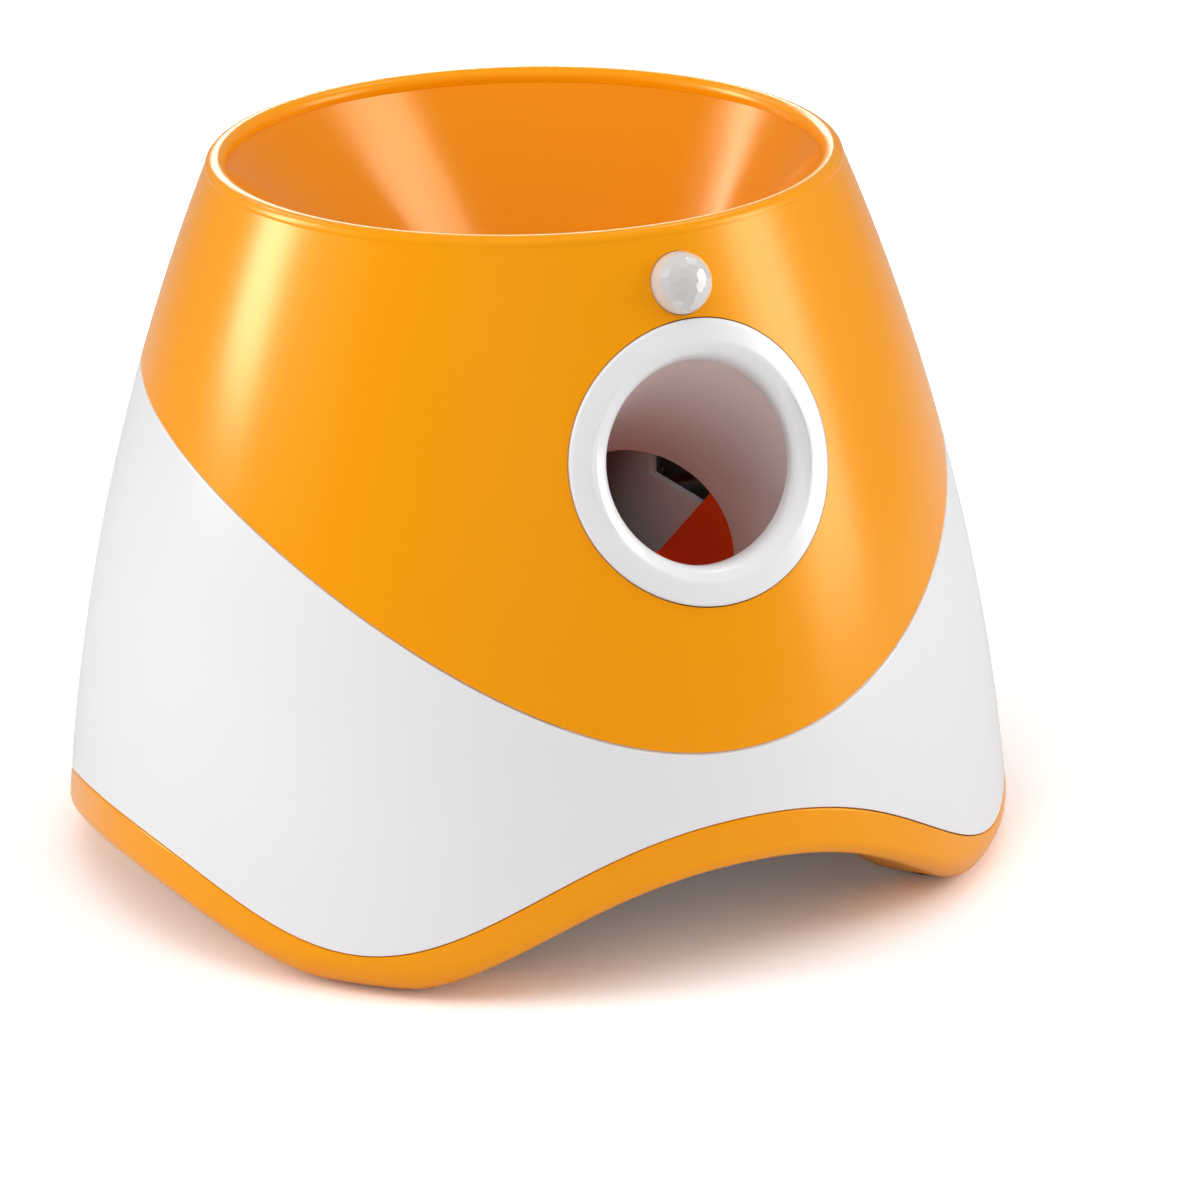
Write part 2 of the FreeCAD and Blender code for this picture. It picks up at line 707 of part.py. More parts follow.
def gear_wire(module, teeth, kept, aim):
    """Outline of a gear in the Y-Z plane. Tooth 0 points at an angle above +Y; only kept teeth stand."""
    pitch_radius = module * teeth / 2
    root = pitch_radius - 1.25 * module
    levels = (root, pitch_radius - 0.45 * module, pitch_radius + 0.15 * module, pitch_radius + module)
    points = []
    for number in range(teeth):
        centre = aim + 2 * math.pi * number / teeth
        if number in kept:
            flank = [(radius, tooth_half_angle(module, teeth, radius)) for radius in levels]
            for radius, half in flank:
                points.append((radius, centre - half))
            for radius, half in reversed(flank):
                points.append((radius, centre + half))
        else:
            points.append((root, centre))
    corners = [Vector(0, radius * math.cos(turn), radius * math.sin(turn)) for radius, turn in points]
    return Part.makePolygon(corners + [corners[0]])


def gear(module, teeth, x, width, aim, bore, kept=None):
    """A gear blank with teeth, standing from x to x + width on the X axis."""
    shown = set(range(teeth)) if kept is None else set(kept)
    face = Part.Face(gear_wire(module, teeth, shown, math.radians(aim)))
    blank = face.extrude(Vector(width, 0, 0))
    blank.translate(Vector(x, 0, 0))
    hole = Part.makeCylinder(bore, width + 2, Vector(x - 1, 0, 0), Vector(1, 0, 0))
    return blank.cut(hole)


def hub(x, width, radius, bore):
    tube = Part.makeCylinder(radius, width, Vector(x, 0, 0), Vector(1, 0, 0))
    return tube.cut(Part.makeCylinder(bore, width + 2, Vector(x - 1, 0, 0), Vector(1, 0, 0)))


def gap_aim(teeth, angle):
    """Aims a gear so that a gap, not a tooth, points at an angle."""
    return angle + 180.0 / teeth


plane_first = frame_inner + frame_wall + gear_gap
plane_second = plane_first + gear_width + gear_gap
plane_third = plane_second + gear_width + gear_gap
plane_arm = frame_outer + frame_wall + head_gap
arm_face = size("arm_face", 7)
axle_bore = axle_radius + running_gap


def place_gear(name, shape, point):
    obj = solid(name, shape)
    obj.Placement = Placement(Vector(0, point.y, point.z), Rotation())
    return obj


motor_pinion = place_gear("motor_pinion", gear(
    fine_module, MOTOR_TEETH, plane_first, gear_width, MOTOR_ANGLE + 180, axle_radius / 2), motor_at)

first_wheel = gear(fine_module, FIRST_TEETH, plane_first, gear_width,
                   gap_aim(FIRST_TEETH, MOTOR_ANGLE), axle_bore)
first_small = gear(wheel_module, SMALL_TEETH, plane_first + gear_width, gear_width + gear_gap,
                   FIRST_ANGLE + 180, axle_bore)
first_gear = place_gear("first_gear", first_wheel.fuse(first_small), first_at)

second_wheel = gear(wheel_module, WHEEL_TEETH, plane_second, gear_width,
                    gap_aim(WHEEL_TEETH, FIRST_ANGLE), axle_bore)
second_small = gear(wheel_module, SMALL_TEETH, plane_second + gear_width, gear_width + gear_gap,
                    SECOND_ANGLE + 180, axle_bore)
second_gear = place_gear("second_gear", second_wheel.fuse(second_small), second_at)

sector_wheel = gear(wheel_module, WHEEL_TEETH, plane_third, gear_width,
                    gap_aim(WHEEL_TEETH, SECOND_ANGLE), axle_bore)
sector_neck = hub(plane_third + gear_width, plane_arm - plane_third - gear_width,
                  axle_radius + 3, axle_bore)
sector_small = gear(arm_module, SECTOR_TEETH, plane_arm, arm_face, 90, axle_bore,
                    kept=range(SECTOR_KEPT))
sector_gear = place_gear("sector_gear", sector_wheel.fuse(sector_neck).fuse(sector_small), sector_at)

# Arm quadrant: the toothed segment on the arm's shaft that the sector gear winds back

QUADRANT_KEPT = 10
quadrant_first = -90 + 180.0 / QUADRANT_TEETH - 360.0 / QUADRANT_TEETH * (QUADRANT_KEPT - 1)
quadrant_disc = gear(arm_module, QUADRANT_TEETH, plane_arm, arm_face, quadrant_first, shaft_radius,
                     kept=range(QUADRANT_KEPT))
quadrant_tip = arm_module * QUADRANT_TEETH / 2 + 2 * arm_module
tooth_pitch = 360.0 / QUADRANT_TEETH
wedge_low = math.radians(quadrant_first - tooth_pitch / 2)
wedge_high = math.radians(quadrant_first + tooth_pitch * (QUADRANT_KEPT - 0.5))
wedge_corners = [Vector(plane_arm, 0, 0)]
for turn in (wedge_low, (wedge_low + wedge_high) / 2, wedge_high):
    wedge_corners.append(Vector(plane_arm, 1.4 * quadrant_tip * math.cos(turn), 1.4 * quadrant_tip * math.sin(turn)))
wedge = Part.Face(Part.makePolygon(wedge_corners + [wedge_corners[0]])).extrude(Vector(arm_face, 0, 0))
quadrant_hub = hub(plane_arm, arm_face, hub_radius, shaft_radius)
quadrant_shape = quadrant_disc.common(wedge).fuse(quadrant_hub)
arm_quadrant = place_gear("arm_quadrant", quadrant_shape, pivot)

arm_shaft = rod("arm_shaft", "shaft_radius", "frame_inner + frame_wall + frame_outer + frame_wall + head_gap + arm_face",
                "-frame_inner - frame_wall", "pivot_back", "pivot_up")


def axle(name, back, up, long="frame_outer + frame_wall - frame_inner"):
    return rod(name, "axle_radius", long, "frame_inner", back, up)


first_axle = axle("first_axle", "first_back", "first_up")
second_axle = axle("second_axle", "second_back", "second_up")
sector_axle = axle("sector_axle", "sector_back", "sector_up",
                   "frame_outer + frame_wall - frame_inner + head_gap + arm_face")

# Frame plates: two on the right carry the gears, one on the left carries the shaft's other end

plate_floor = "plate_height + plate_wall + seam_gap"
plate_round = size("plate_round", 16)
plate_reach = size("plate_reach", 52)


def frame_plate(name, x, back, holes, foot_side=0):
    """A plate square to X that stands on the base plate, with a foot and its bores."""
    front = "pivot_back - plate_reach"
    low = box(name + "_low", "frame_wall", "%s - pivot_back + plate_reach" % back,
              "second_up + 20 - (%s)" % plate_floor, x=x, y=front, z=plate_floor)
    high = box(name + "_high", "frame_wall", "2 * plate_round", "pivot_up - (%s)" % plate_floor,
               x=x, y="pivot_back - plate_round", z=plate_floor)
    crown = rod(name + "_crown", "plate_round", "frame_wall", x, "pivot_back", "pivot_up")
    foot = box(name + "_foot", "frame_wall + 8", "%s - pivot_back + 10" % back, "frame_wall",
               x="%s - %d" % (x, 8 * foot_side), y="pivot_back - 10", z=plate_floor)
    tools = []
    for number, (radius, y, z) in enumerate(holes):
        tools.append(rod("%s_hole_%d" % (name, number), radius, "frame_wall + 2", "%s - 1" % x, y, z))
    return cut(name, fuse(name + "_joined", low, high, crown, foot), *tools)


bearing = "shaft_radius + running_gap"
axle_seat = "axle_radius"
inner_plate = frame_plate("gearbox_inner", "frame_inner", "(motor_back + motor_radius)", [
    (bearing, "pivot_back", "pivot_up"),
    (axle_seat, "sector_back", "sector_up"),
    (axle_seat, "second_back", "second_up"),
    (axle_seat, "first_back", "first_up"),
    ("motor_radius / 3", "motor_back", "motor_up"),
])
outer_plate = frame_plate("gearbox_outer", "frame_outer", "(first_back + plate_round)", [
    (bearing, "pivot_back", "pivot_up"),
    ("axle_radius + 3 + running_gap", "sector_back", "sector_up"),
    (axle_seat, "second_back", "second_up"),
    (axle_seat, "first_back", "first_up"),
])
left_plate = frame_plate("shaft_bracket", "-frame_inner - frame_wall", "(pivot_back + plate_round)", [
    (bearing, "pivot_back", "pivot_up"),
])

# Spacers and screws that hold the two gear plates apart

spacer_radius = size("spacer_radius", 3)
SPACER_SPOTS = (("pivot_back - 30", "sector_up - 14"), ("first_back + 8", "plate_height + 14"),
                ("pivot_back - 13", "pivot_up - 23"))
spacer_parts = []
gearbox_screw_parts = []
for number, (y, z) in enumerate(SPACER_SPOTS):
    spacer_parts.append(rod("spacer_%d" % number, "spacer_radius", "frame_outer - frame_inner - frame_wall - 2 * running_gap",
                            "frame_inner + frame_wall + running_gap", y, z))
    gearbox_screw_parts.append(rod("gearbox_head_%d" % number, "screw_head", "1.8",
                                   "frame_outer + frame_wall + running_gap", y, z))
gearbox_spacers = group("gearbox_spacers", *spacer_parts)
gearbox_screws = group("gearbox_screws", *gearbox_screw_parts)

# Motor: a can on the left of the inner plate, its shaft through the plate

motor_start = "frame_inner - motor_length - running_gap"
motor_can_blank = rod("motor_can_blank", "motor_radius", "motor_length", motor_start, "motor_back", "motor_up")
motor_nose = rod("motor_nose", "motor_radius / 3 - running_gap", "frame_wall", "frame_inner - 1", "motor_back", "motor_up")
motor_bore = rod("motor_bore", "axle_radius / 2 + running_gap", "motor_length + 10",
                 "frame_inner - motor_length - 2", "motor_back", "motor_up")
motor_can = cut("motor_can", fuse("motor_body", motor_can_blank, motor_nose), motor_bore)
endcap_disc = rod("endcap_disc", "motor_radius - 1", "4", motor_start + " - 4 - running_gap", "motor_back", "motor_up")
lug_high = box("lug_high", "4", "3", "1", x=motor_start + " - 8 - running_gap", y="motor_back - 1.5", z="motor_up + 8")
lug_low = box("lug_low", "4", "3", "1", x=motor_start + " - 8 - running_gap", y="motor_back - 1.5", z="motor_up - 9")
motor_endcap = fuse("motor_endcap", endcap_disc, lug_high, lug_low)
motor_shaft = rod("motor_shaft", "axle_radius / 2", "motor_length - 4 + frame_wall + gear_gap + gear_width",
                  "frame_inner - motor_length + 4", "motor_back", "motor_up")

# Torsion spring on the arm's shaft, between the hub and the right plate

spring_wire = size("spring_wire", 1.8)
spring_radius = size("spring_radius", 7)
SPRING_TURNS = 5
spring_pitch = 3.2
helix = Part.makeLongHelix(spring_pitch, spring_pitch * SPRING_TURNS, spring_radius)
section = Part.Wire(Part.makeCircle(spring_wire / 2, Vector(spring_radius, 0, 0), Vector(0, 1, 0)))
coil = Part.Wire(helix.Edges).makePipeShell([section], True, True)
arm_spring = solid("arm_spring", coil)
arm_spring.Placement = Placement(Vector(arm_width / 2 + 4.5, pivot.y, pivot.z), Rotation(Vector(0, 1, 0), 90))

# Base plate: the floor of the body, with the battery bay, the speaker grille and the board's posts

bay_width = "4 * cell_radius + 3 * running_gap"
bay_long = "2 * cell_length + 4"
cell_floor = "plate_height + plate_wall + seam_gap"
speaker_radius = size("speaker_radius", 18)
speaker_front = size("speaker_front", 78)
board_back = size("board_back", 82)
board_wall = size("board_wall", 1.6)
board_left = size("board_left", 46)
board_long = size("board_long", 60)
board_high = size("board_high", 38)
board_lift = size("board_lift", 34)
bay_walls = box("bay_walls", bay_width + " + 2 * bay_wall + 1", bay_long + " + 2 * bay_wall", "cell_radius + 6",
                x="-bay_inner - (%s) - bay_wall - 0.5" % bay_width, y="-cell_length - 2 - bay_wall", z="plate_height + 1")
bay_space = box("bay_space", bay_width + " + 1", bay_long, "60",
                x="-bay_inner - (%s) - 0.5" % bay_width, y="-cell_length - 2", z="plate_height - 5")
plate_disc = disc("plate_disc", "channel_radius - seam_gap", "plate_wall", z="plate_height")
post_left = box("post_left", "5", "8", "board_lift", x="-board_left - 3", y="board_back + board_wall + seam_gap",
                z="plate_height + 1")
post_right = box("post_right", "5", "8", "board_lift", x="board_long - board_left - 2",
                 y="board_back + board_wall + seam_gap", z="plate_height + 1")
grille_slots = []
for number in range(-3, 4):
    half = math.sqrt(1 - (number / 4.2) ** 2)
    grille_slots.append(box("grille_slot_%d" % (number + 3), "2 * (speaker_radius - 4) * %.4f" % half, "2", "20",
                            x="-(speaker_radius - 4) * %.4f" % half, y="-speaker_front + %d - 1" % (number * 4),
                            z="plate_height - 5"))
plate_solid = fuse("plate_solid", plate_disc, bay_walls, post_left, post_right)
base_plate = cut("base_plate", plate_solid, bay_space, *grille_slots)

# Battery door, cells, contacts and springs

door_sheet = box("door_sheet", bay_width + " + 1 - 2 * door_gap", bay_long + " - 2 * door_gap", "plate_wall - 0.5",
                 x="-bay_inner - (%s) - 0.5 + door_gap" % bay_width, y="-cell_length - 2 + door_gap", z="plate_height")
door_rib_parts = []
for number in range(3):
    door_rib_parts.append(box("door_rib_%d" % number, bay_width + " - 12", "1.5", "1.5",
                              x="-bay_inner - (%s) + 6" % bay_width, y="%d * 8 - 8" % number, z="plate_height - 1"))
battery_door = fuse("battery_door", door_sheet, *door_rib_parts)

cell_parts = []
spring_parts = []
contact_parts = []
for column in (0, 1):
    middle = "-bay_inner - cell_radius - %d * (2 * cell_radius + running_gap)" % column
    for line in (0, 1):
        name = "cell_%d_%d" % (column, line)
        start = "-cell_length + %d * (cell_length + 1)" % line
        can = disc(name + "_can", "cell_radius", "cell_length - 1.5", x=middle, y=start,
                   z=cell_floor + " + cell_radius", about=(1, 0, 0), angle=-90)
        nub = disc(name + "_nub", "cell_radius / 4", "1.5", x=middle, y=start + " + cell_length - 1.5",
                   z=cell_floor + " + cell_radius", about=(1, 0, 0), angle=-90)
        cell_parts.append(fuse(name, can, nub))
    contact_parts.append(box("contact_%d" % column, "12", "0.5", "12", x=middle + " - 6", y="cell_length + 1.2",
                             z=cell_floor + " + cell_radius - 6"))
    spring = bind(doc.addObject("Part::Cone", "battery_spring_%d" % column),
                  Radius1="cell_radius / 2", Radius2="cell_radius / 3.5", Height="1.6")
    spring_parts.append(put(spring, x=middle, y="-cell_length - 1.8", z=cell_floor + " + cell_radius",
                            about=(1, 0, 0), angle=-90))
battery_cells = group("battery_cells", *cell_parts)
battery_contacts = group("battery_contacts", *contact_parts)
battery_springs = group("battery_springs", *spring_parts)

# Control board on its posts, its components, and its screws

control_board = box("control_board", "board_long", "board_wall", "board_high", x="-board_left", y="board_back",
                    z="plate_height + plate_wall + seam_gap")
component_parts = []
COMPONENTS = ((6, 6, 10, 12, 10), (22, 18, 14, 3, 14), (42, 6, 10, 8, 16), (8, 26, 8, 6, 8))
for number, (x, z, long, deep, high) in enumerate(COMPONENTS):
    component_parts.append(box("component_%d" % number, str(long), str(deep), str(high), x="-board_left + %d" % x,
                               y="board_back - %d - running_gap" % deep, z="plate_height + plate_wall + %d" % z))
board_components = group("board_components", *component_parts)
board_screw_parts = []
for number, x in enumerate(("-board_left + 2.5 - 3", "board_long - board_left + 0.5")):
    head = disc("board_head_%d" % number, "screw_head - 0.6", "1.6", x=x, y="board_back - running_gap",
                z="plate_height + board_lift - 6", about=(1, 0, 0), angle=90)
    board_screw_parts.append(head)
board_screws = group("board_screws", *board_screw_parts)

# Loudspeaker over its grille

speaker_floor = plate_top + seam_gap
speaker_frame = turned("speaker_frame", (speaker_radius - 3, 0), [
    (speaker_radius, 0),
    (speaker_radius, 2),
    (speaker_radius / 2 + 1, 9),
    (speaker_radius / 2 + 1, 13),
    (0, 13),
    (0, 10),
    (speaker_radius / 2 - 1, 9),
    (speaker_radius - 3, 1.5),
    (speaker_radius - 3, 0),
])
speaker_frame.Placement = Placement(Vector(0, -speaker_front, speaker_floor), Rotation())
speaker_cone = turned("speaker_cone", (0, 6), [
    (speaker_radius / 4, 6),
    (speaker_radius - 3.3, 0.2),
    (speaker_radius - 3.3, 1),
    (speaker_radius / 4, 7),
    (0, 7),
    (0, 6),
])
speaker_cone.Placement = Placement(Vector(0, -speaker_front, speaker_floor), Rotation())

# Motion sensor: a faceted dome, its retainer, board and detector can

dome_wall = size("dome_wall", 1.0)
skirt = shell_wall + 0.4
sensor_dome = turned("sensor_dome", (dome_radius - dome_wall, -skirt), [
    (dome_radius, -skirt),
    (dome_radius, 0),
    ((dome_radius * round_half, dome_radius * round_half), (0, dome_radius)),
    (0, dome_radius - dome_wall),
    (((dome_radius - dome_wall) * round_half, (dome_radius - dome_wall) * round_half), (dome_radius - dome_wall, 0)),
    (dome_radius - dome_wall, -skirt),
])
set_down(sensor_dome, sensor_frame)
sensor_retainer = turned("sensor_retainer", (dome_radius - dome_wall - 1, -skirt - 1.5), [
    (dome_radius + 0.9, -skirt - 1.5),
    (dome_radius + 0.9, -skirt - 0.3),
    (dome_radius - dome_wall - 1, -skirt - 0.3),
    (dome_radius - dome_wall - 1, -skirt - 1.5),
])
set_down(sensor_retainer, sensor_frame)
sensor_board = disc("sensor_board", "dome_radius + 0.5", "1.2")
set_down(sensor_board, deeper(sensor_frame, 0, 0, -skirt - 3))
sensor_can = disc("sensor_can", "4.5", "4")
set_down(sensor_can, deeper(sensor_frame, 0, 0, -skirt - 1.7))

# Power and distance button, its switch and board, and three indicator lights

button_cap = turned("button_cap", (0, -7), [
    (2.5, -7),
    (2.5, -5.6),
    (button_radius + 1.4, -5.6),
    (button_radius + 1.4, -4.4),
    (button_radius, -4.4),
    (button_radius, 1.6),
    ((button_radius - 0.4, 2.2), (button_radius - 1.2, 2.4)),
    (0, 2.4),
    (0, -7),
])
set_down(button_cap, button_frame)
button_switch = box("button_switch", "7", "7", "4")
set_down(button_switch, deeper(button_frame, -3.5, -3.5, -switch_deep))
button_board = box("button_board", "30", "34", "1.6")
set_down(button_board, deeper(button_frame, -15, -12, -switch_deep - seam_gap - 1.6))
light_parts = []
for number in (-1, 0, 1):
    lens = disc("light_%d" % (number + 1), "light_radius", "shell_wall + 8")
    light_parts.append(set_down(lens, deeper(button_frame, number * light_pitch, light_rise, 0.4 - shell_wall - 8)))
indicator_lenses = group("indicator_lenses", *light_parts)

# Direct-current inlet: a barrel socket with its centre pin

dc_jack = turned("dc_jack", (0, -14), [
    (inlet_radius, -14),
    (inlet_radius, 0.6),
    (inlet_bore, 0.6),
    (inlet_bore, -9),
    (1.05 + running_gap, -9),
    (1.05 + running_gap, -12),
    (0, -12),
    (0, -14),
])
set_down(dc_jack, inlet_frame)
dc_jack_pin = disc("dc_jack_pin", "1.05", "11")
set_down(dc_jack_pin, deeper(inlet_frame, 0, 0, -12))

# Checks and export

NODES = [
    upper_shell, lower_shell, base_trim, hopper_bowl, nozzle_ring, launch_barrel, ball_cradle,
    striker_arm, striker_pad, arm_shaft, arm_quadrant, arm_spring, motor_pinion, first_gear, second_gear,
    sector_gear, first_axle, second_axle, sector_axle, inner_plate, outer_plate, left_plate,
    gearbox_spacers, gearbox_screws, motor_can, motor_endcap, motor_shaft, base_plate, battery_door,
    battery_cells, battery_contacts, battery_springs, control_board, board_components, board_screws,
    speaker_frame, speaker_cone, sensor_dome, sensor_retainer, sensor_board, sensor_can, button_cap,
    button_switch, button_board, indicator_lenses, dc_jack, dc_jack_pin, housing_screws,
] + foot_pads

doc.recompute()
os.makedirs("parts", exist_ok=True)
for obj in doc.Objects:
    if "Invalid" in obj.State or "Error" in obj.State:
        raise RuntimeError("%s failed: %s" % (obj.Name, obj.State))
for obj in NODES:
    obj.Label = obj.Name
    shape = obj.Shape
    if shape.isNull() or not shape.isValid() or not shape.Solids:
        raise RuntimeError("%s has no valid shape" % obj.Name)
for obj in NODES:
    obj.Shape.exportStep("parts/%s.step" % obj.Name)
FreeCAD.Console.PrintMessage("%d nodes\n" % len(NODES))
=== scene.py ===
import math

import bmesh
import bpy
import numpy as np
from mathutils import Matrix, Vector


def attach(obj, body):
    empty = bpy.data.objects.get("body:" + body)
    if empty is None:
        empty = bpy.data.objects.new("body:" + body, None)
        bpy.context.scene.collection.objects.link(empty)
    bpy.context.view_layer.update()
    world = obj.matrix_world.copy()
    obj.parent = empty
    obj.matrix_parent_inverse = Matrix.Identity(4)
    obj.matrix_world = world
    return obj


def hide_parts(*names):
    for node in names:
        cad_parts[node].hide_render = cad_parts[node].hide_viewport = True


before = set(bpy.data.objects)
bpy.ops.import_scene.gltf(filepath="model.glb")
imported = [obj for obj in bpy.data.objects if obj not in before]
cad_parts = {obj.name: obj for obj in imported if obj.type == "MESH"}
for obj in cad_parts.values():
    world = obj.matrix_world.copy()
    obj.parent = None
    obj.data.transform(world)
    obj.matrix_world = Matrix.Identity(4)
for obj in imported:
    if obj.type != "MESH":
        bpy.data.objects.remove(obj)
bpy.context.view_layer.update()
scene = bpy.context.scene
MM = 0.001


# Helpers for colours, shader nodes and meshes

def linear(code):
    """A hex colour as linear numbers with alpha."""
    parts = [int(code[n:n + 2], 16) / 255 for n in (1, 3, 5)]
    bright = [p / 12.92 if p <= 0.04045 else ((p + 0.055) / 1.055) ** 2.4 for p in parts]
    return tuple(bright) + (1.0,)


def add_node(tree, kind, **inputs):
    """Adds a shader node and sets its named inputs; a socket as a value is linked."""
    made = tree.nodes.new(kind)
    for name, value in inputs.items():
        numbered = name[0] == "i" and name[1:].isdigit()
        socket = made.inputs[int(name[1:]) if numbered else name.replace("_", " ")]
        if isinstance(value, bpy.types.NodeSocket):
            tree.links.new(value, socket)
        else:
            socket.default_value = value
    return made


GLOSS_SPREAD = 0.08
TONE_SCALE, GRAIN_SCALE = 14.0, 900.0
COAT_ROUGH = 0.12


def finish_of(name, code, rough, metal=0.0, coat=0.0, grain=0.0, mottle=0.03, **more):
    """A moulded or metal finish: a faint uneven gloss, a slight tone change and a fine grain."""
    made = bpy.data.materials.new(name)
    made.use_nodes = True
    tree = made.node_tree
    tree.nodes.clear()
    out = tree.nodes.new("ShaderNodeOutputMaterial")
    place = tree.nodes.new("ShaderNodeTexCoord").outputs["Object"]
    noise = add_node(tree, "ShaderNodeTexNoise", Vector=place, Scale=TONE_SCALE, Detail=3.0)
    gloss = add_node(tree, "ShaderNodeMapRange", Value=noise.outputs["Fac"],
                     To_Min=rough * (1 - GLOSS_SPREAD), To_Max=rough * (1 + GLOSS_SPREAD))
    colour = linear(code)
    light = tuple(min(1.0, c * (1 + mottle)) for c in colour[:3]) + (1.0,)
    dark = tuple(c * (1 - mottle) for c in colour[:3]) + (1.0,)
    tone = add_node(tree, "ShaderNodeMix")
    tone.data_type = "RGBA"
    tree.links.new(noise.outputs["Fac"], tone.inputs[0])
    tone.inputs[6].default_value = dark
    tone.inputs[7].default_value = light
    surface = add_node(tree, "ShaderNodeBsdfPrincipled", Base_Color=tone.outputs[2],
                       Roughness=gloss.outputs["Result"], Metallic=metal,
                       Coat_Weight=coat, Coat_Roughness=COAT_ROUGH)
    for key, value in more.items():
        surface.inputs[key.replace("_", " ")].default_value = value
    if grain:
        fine = add_node(tree, "ShaderNodeTexNoise", Vector=place, Scale=GRAIN_SCALE, Detail=2.0)
        bump = add_node(tree, "ShaderNodeBump", Height=fine.outputs["Fac"], Strength=grain,
                        Distance=0.0001)
        tree.links.new(bump.outputs["Normal"], surface.inputs["Normal"])
    tree.links.new(surface.outputs["BSDF"], out.inputs["Surface"])
    return made


def new_piece(name, mesh, material, body="housing", nodes=()):
    """Links a mesh as a piece that rides on a body and stands for CAD nodes."""
    mesh.name = name
    piece = bpy.data.objects.new(name, mesh)
    scene.collection.objects.link(piece)
    mesh.materials.clear()
    mesh.materials.append(material)
    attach(piece, body)
    if nodes:
        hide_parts(*nodes)
    return piece


def grid_mesh(name, rows, wrap_rows=True, wrap_columns=True):
    """A mesh from an array of points: rows round the object, columns along each section."""
    rows = np.asarray(rows, float)
    count, width = rows.shape[:2]
    r = np.arange(count if wrap_rows else count - 1)
    c = np.arange(width if wrap_columns else width - 1)
    rr, cc = np.meshgrid(r, c, indexing="ij")
    up = (rr + 1) % count
    on = (cc + 1) % width
    corners = [rr * width + cc, up * width + cc, up * width + on, rr * width + on]
    faces = np.stack(corners, -1).reshape(-1, 4)
    mesh = bpy.data.meshes.new(name)
    mesh.from_pydata((rows.reshape(-1, 3) * MM).tolist(), [], faces.tolist())
    mesh.update()
    return mesh


def baked(piece, *tools):
    """The piece's mesh with the tools cut out of it; the tools are removed."""
    for number, tool in enumerate(tools):
        cut = piece.modifiers.new("cut_%d" % number, "BOOLEAN")
        cut.operation = "DIFFERENCE"
        cut.solver = "EXACT"
        cut.object = tool
    graph = bpy.context.evaluated_depsgraph_get()
    graph.update()
    mesh = bpy.data.meshes.new_from_object(piece.evaluated_get(graph))
    for thing in (piece,) + tools:
        old = thing.data
        bpy.data.objects.remove(thing)
        bpy.data.meshes.remove(old)
    return mesh


def loose(name, mesh):
    """A mesh as an unparented object, for a cut."""
    made = bpy.data.objects.new(name, mesh)
    scene.collection.objects.link(made)
    return made


def round_bar(radius, low, high, place, steps=192):
    """A cylinder along the local +Z of a frame, for a cut."""
    mesh = bpy.data.meshes.new("bar")
    tool = bmesh.new()
    bmesh.ops.create_cone(tool, cap_ends=True, segments=steps, radius1=radius * MM,
                          radius2=radius * MM, depth=(high - low) * MM)
    bmesh.ops.translate(tool, verts=tool.verts, vec=(0, 0, (high + low) / 2 * MM))
    tool.to_mesh(mesh)
    tool.free()
    made = loose("bar", mesh)
    made.matrix_world = place
    return made


def smooth(mesh, exact=None, edge=35):
    """Smooth shading, sharp at real edges; exact gives true normals on a known surface."""
    mesh.shade_smooth()
    mesh.set_sharp_from_angle(angle=math.radians(edge))
    if exact is None:
        return mesh
    mesh.update()
    corners = len(mesh.loops)
    normals = np.empty(corners * 3)
    mesh.corner_normals.foreach_get("vector", normals)
    normals = normals.reshape(-1, 3)
    index = np.empty(corners, int)
    mesh.loops.foreach_get("vertex_index", index)
    points = np.empty(len(mesh.vertices) * 3)
    mesh.vertices.foreach_get("co", points)
    points = points.reshape(-1, 3)[index] / MM
    true, on_surface = exact(points)
    flat = np.empty(len(mesh.polygons) * 3)
    mesh.polygons.foreach_get("normal", flat)
    sides = np.empty(len(mesh.polygons), int)
    mesh.polygons.foreach_get("loop_total", sides)
    faces = np.repeat(flat.reshape(-1, 3), sides, axis=0)
    keep = on_surface & ((faces * true).sum(1) > 0.97)
    normals[keep] = true[keep]
    mesh.normals_split_custom_set(normals.tolist())
    return mesh


# The body's wall: one arc through the radii at the floor, half way up and the rim

BODY_HIGH = 206.0
LOW_RADIUS, MIDDLE_RADIUS, HIGH_RADIUS = 137.5, 122.3, 89.0
WALL = 2.6
SEAM = 0.3


def circle_through(a, b, c):
    """Centre and radius of the circle through three points."""
    spread = 2 * (a[0] * (b[1] - c[1]) + b[0] * (c[1] - a[1]) + c[0] * (a[1] - b[1]))
    sums = [p[0] ** 2 + p[1] ** 2 for p in (a, b, c)]
    x = (sums[0] * (b[1] - c[1]) + sums[1] * (c[1] - a[1]) + sums[2] * (a[1] - b[1])) / spread
    y = (sums[0] * (c[0] - b[0]) + sums[1] * (a[0] - c[0]) + sums[2] * (b[0] - a[0])) / spread
    return x, y, math.hypot(a[0] - x, a[1] - y)


WALL_X, WALL_Z, WALL_TURN = circle_through(
    (LOW_RADIUS, 0), (MIDDLE_RADIUS, BODY_HIGH / 2), (HIGH_RADIUS, BODY_HIGH))


def wall_at(z):
    """The outer wall's radius at a height."""
    return WALL_X + np.sqrt(WALL_TURN ** 2 - (np.asarray(z, float) - WALL_Z) ** 2)


def wall_lean(z):
    """The outer wall's lean from upright at a height, as an angle."""
    return np.arcsin((np.asarray(z, float) - WALL_Z) / WALL_TURN)


def wall_normals(points):
    """The outer wall's true normals, and which points lie on it."""
    spread = np.hypot(points[:, 0], points[:, 1])
    lean = wall_lean(points[:, 2])
    across = np.cos(lean) / np.maximum(spread, 1e-6)
    normals = np.stack([points[:, 0] * across, points[:, 1] * across, np.sin(lean)], -1)
    return normals, np.abs(spread - wall_at(points[:, 2])) < 0.02


